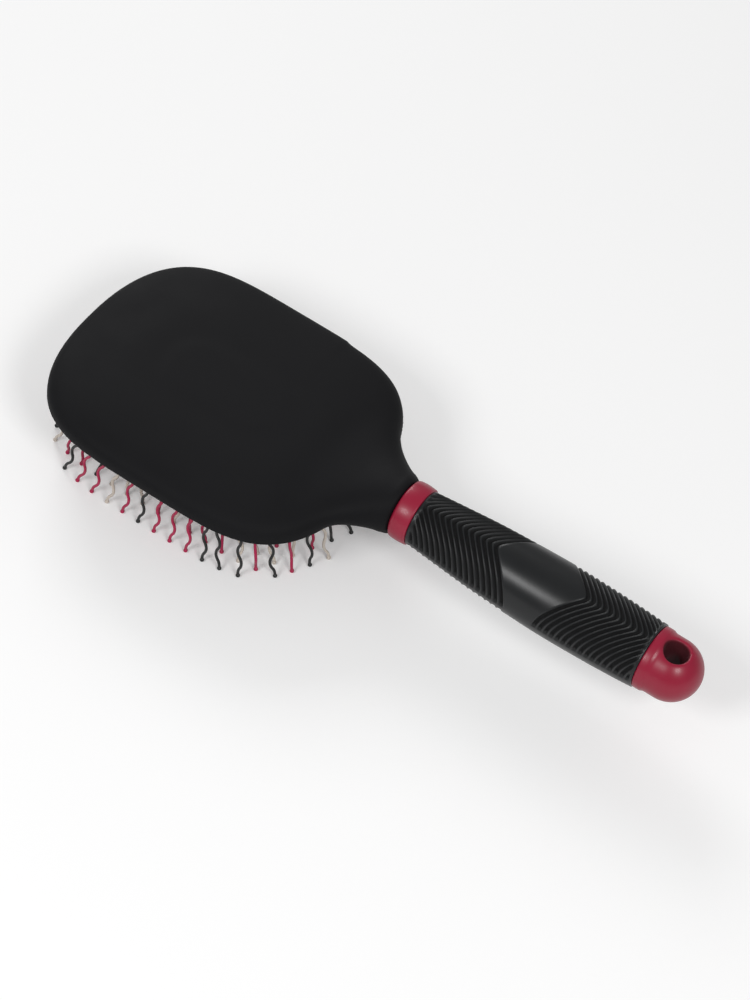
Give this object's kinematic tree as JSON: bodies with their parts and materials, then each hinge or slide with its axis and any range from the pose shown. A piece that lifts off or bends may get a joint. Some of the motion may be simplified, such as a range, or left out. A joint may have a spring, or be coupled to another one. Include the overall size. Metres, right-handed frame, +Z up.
{
  "type": "detangling hair brush",
  "caption": "Paddle hair brush for detangling: rounded paddle, sprung cushion with wavy ball-tipped pins, and a barrel rubber grip with an end cap that has a hang hole.",
  "frame": {"origin": "on the plane of the pin tips, under the middle of the overall box", "axes": "+X along the handle towards the end cap, +Y across the paddle, +Z up out of the paddle's back"},
  "size_m": [0.2378, 0.0914, 0.0409],
  "materials": {
    "soft_touch_black": "soft-touch matt black coating",
    "frame_black": "satin black plastic",
    "pad_rubber": "matt black rubber membrane",
    "grip_rubber": "black moulded rubber with a soft sheen",
    "raspberry_plastic": "glossy raspberry plastic",
    "core_plastic": "plain moulded plastic",
    "pin_black": "black nylon",
    "pin_raspberry": "raspberry nylon",
    "pin_clear": "milky clear nylon"
  },
  "bodies": {
    "handle_and_paddle": {"paddle_shell": "soft_touch_black", "cushion_frame": "frame_black", "collar_ring": "raspberry_plastic", "handle_core": "core_plastic", "grip_sleeve": "grip_rubber", "end_cap": "raspberry_plastic"},
    "cushion": {"cushion_pad": "pad_rubber"},
    "pin_row_01": {"pin_row_01_black": "pin_black", "pin_row_01_clear": "pin_clear", "pin_row_01_raspberry": "pin_raspberry"},
    "pin_row_02": {"pin_row_02_black": "pin_black", "pin_row_02_clear": "pin_clear", "pin_row_02_raspberry": "pin_raspberry"},
    "pin_row_03": {"pin_row_03_black": "pin_black", "pin_row_03_clear": "pin_clear", "pin_row_03_raspberry": "pin_raspberry"},
    "pin_row_04": {"pin_row_04_black": "pin_black", "pin_row_04_clear": "pin_clear", "pin_row_04_raspberry": "pin_raspberry"},
    "pin_row_05": {"pin_row_05_black": "pin_black", "pin_row_05_clear": "pin_clear", "pin_row_05_raspberry": "pin_raspberry"},
    "pin_row_06": {"pin_row_06_black": "pin_black", "pin_row_06_clear": "pin_clear", "pin_row_06_raspberry": "pin_raspberry"},
    "pin_row_07": {"pin_row_07_black": "pin_black", "pin_row_07_clear": "pin_clear", "pin_row_07_raspberry": "pin_raspberry"},
    "pin_row_08": {"pin_row_08_black": "pin_black", "pin_row_08_clear": "pin_clear", "pin_row_08_raspberry": "pin_raspberry"},
    "pin_row_09": {"pin_row_09_black": "pin_black", "pin_row_09_clear": "pin_clear", "pin_row_09_raspberry": "pin_raspberry"},
    "pin_row_10": {"pin_row_10_black": "pin_black", "pin_row_10_clear": "pin_clear", "pin_row_10_raspberry": "pin_raspberry"},
    "pin_row_11": {"pin_row_11_black": "pin_black", "pin_row_11_clear": "pin_clear", "pin_row_11_raspberry": "pin_raspberry"},
    "pin_row_12": {"pin_row_12_black": "pin_black", "pin_row_12_clear": "pin_clear", "pin_row_12_raspberry": "pin_raspberry"},
    "pin_row_13": {"pin_row_13_black": "pin_black", "pin_row_13_clear": "pin_clear", "pin_row_13_raspberry": "pin_raspberry"}
  },
  "joints": [
    {"name": "cushion_press", "type": "slide", "parent": "handle_and_paddle", "child": "cushion", "axis": [0, 0, 1], "range_m": [0, 0.003], "stiffness_N_per_m": 4500, "springref_m": -0.0005, "deforming": ["cushion_pad"]},
    {"name": "pin_row_01_tilt", "type": "hinge", "parent": "cushion", "child": "pin_row_01", "pos_m": [-0.06365, -0.0378, 0.0238], "axis": [1, 0, 0], "range_deg": [-10, 10], "stiffness_Nm_per_rad": 0.6},
    {"name": "pin_row_02_tilt", "type": "hinge", "parent": "cushion", "child": "pin_row_02", "pos_m": [-0.06365, -0.0315, 0.0238], "axis": [1, 0, 0], "range_deg": [-10, 10], "stiffness_Nm_per_rad": 0.6},
    {"name": "pin_row_03_tilt", "type": "hinge", "parent": "cushion", "child": "pin_row_03", "pos_m": [-0.06365, -0.0252, 0.0238], "axis": [1, 0, 0], "range_deg": [-10, 10], "stiffness_Nm_per_rad": 0.6},
    {"name": "pin_row_04_tilt", "type": "hinge", "parent": "cushion", "child": "pin_row_04", "pos_m": [-0.06365, -0.0189, 0.0238], "axis": [1, 0, 0], "range_deg": [-10, 10], "stiffness_Nm_per_rad": 0.6},
    {"name": "pin_row_05_tilt", "type": "hinge", "parent": "cushion", "child": "pin_row_05", "pos_m": [-0.06365, -0.0126, 0.0238], "axis": [1, 0, 0], "range_deg": [-10, 10], "stiffness_Nm_per_rad": 0.6},
    {"name": "pin_row_06_tilt", "type": "hinge", "parent": "cushion", "child": "pin_row_06", "pos_m": [-0.06365, -0.0063, 0.0238], "axis": [1, 0, 0], "range_deg": [-10, 10], "stiffness_Nm_per_rad": 0.6},
    {"name": "pin_row_07_tilt", "type": "hinge", "parent": "cushion", "child": "pin_row_07", "pos_m": [-0.06365, 0, 0.0238], "axis": [1, 0, 0], "range_deg": [-10, 10], "stiffness_Nm_per_rad": 0.6},
    {"name": "pin_row_08_tilt", "type": "hinge", "parent": "cushion", "child": "pin_row_08", "pos_m": [-0.06365, 0.0063, 0.0238], "axis": [1, 0, 0], "range_deg": [-10, 10], "stiffness_Nm_per_rad": 0.6},
    {"name": "pin_row_09_tilt", "type": "hinge", "parent": "cushion", "child": "pin_row_09", "pos_m": [-0.06365, 0.0126, 0.0238], "axis": [1, 0, 0], "range_deg": [-10, 10], "stiffness_Nm_per_rad": 0.6},
    {"name": "pin_row_10_tilt", "type": "hinge", "parent": "cushion", "child": "pin_row_10", "pos_m": [-0.06365, 0.0189, 0.0238], "axis": [1, 0, 0], "range_deg": [-10, 10], "stiffness_Nm_per_rad": 0.6},
    {"name": "pin_row_11_tilt", "type": "hinge", "parent": "cushion", "child": "pin_row_11", "pos_m": [-0.06365, 0.0252, 0.0238], "axis": [1, 0, 0], "range_deg": [-10, 10], "stiffness_Nm_per_rad": 0.6},
    {"name": "pin_row_12_tilt", "type": "hinge", "parent": "cushion", "child": "pin_row_12", "pos_m": [-0.06365, 0.0315, 0.0238], "axis": [1, 0, 0], "range_deg": [-10, 10], "stiffness_Nm_per_rad": 0.6},
    {"name": "pin_row_13_tilt", "type": "hinge", "parent": "cushion", "child": "pin_row_13", "pos_m": [-0.06365, 0.0378, 0.0238], "axis": [1, 0, 0], "range_deg": [-10, 10], "stiffness_Nm_per_rad": 0.6}
  ]
}
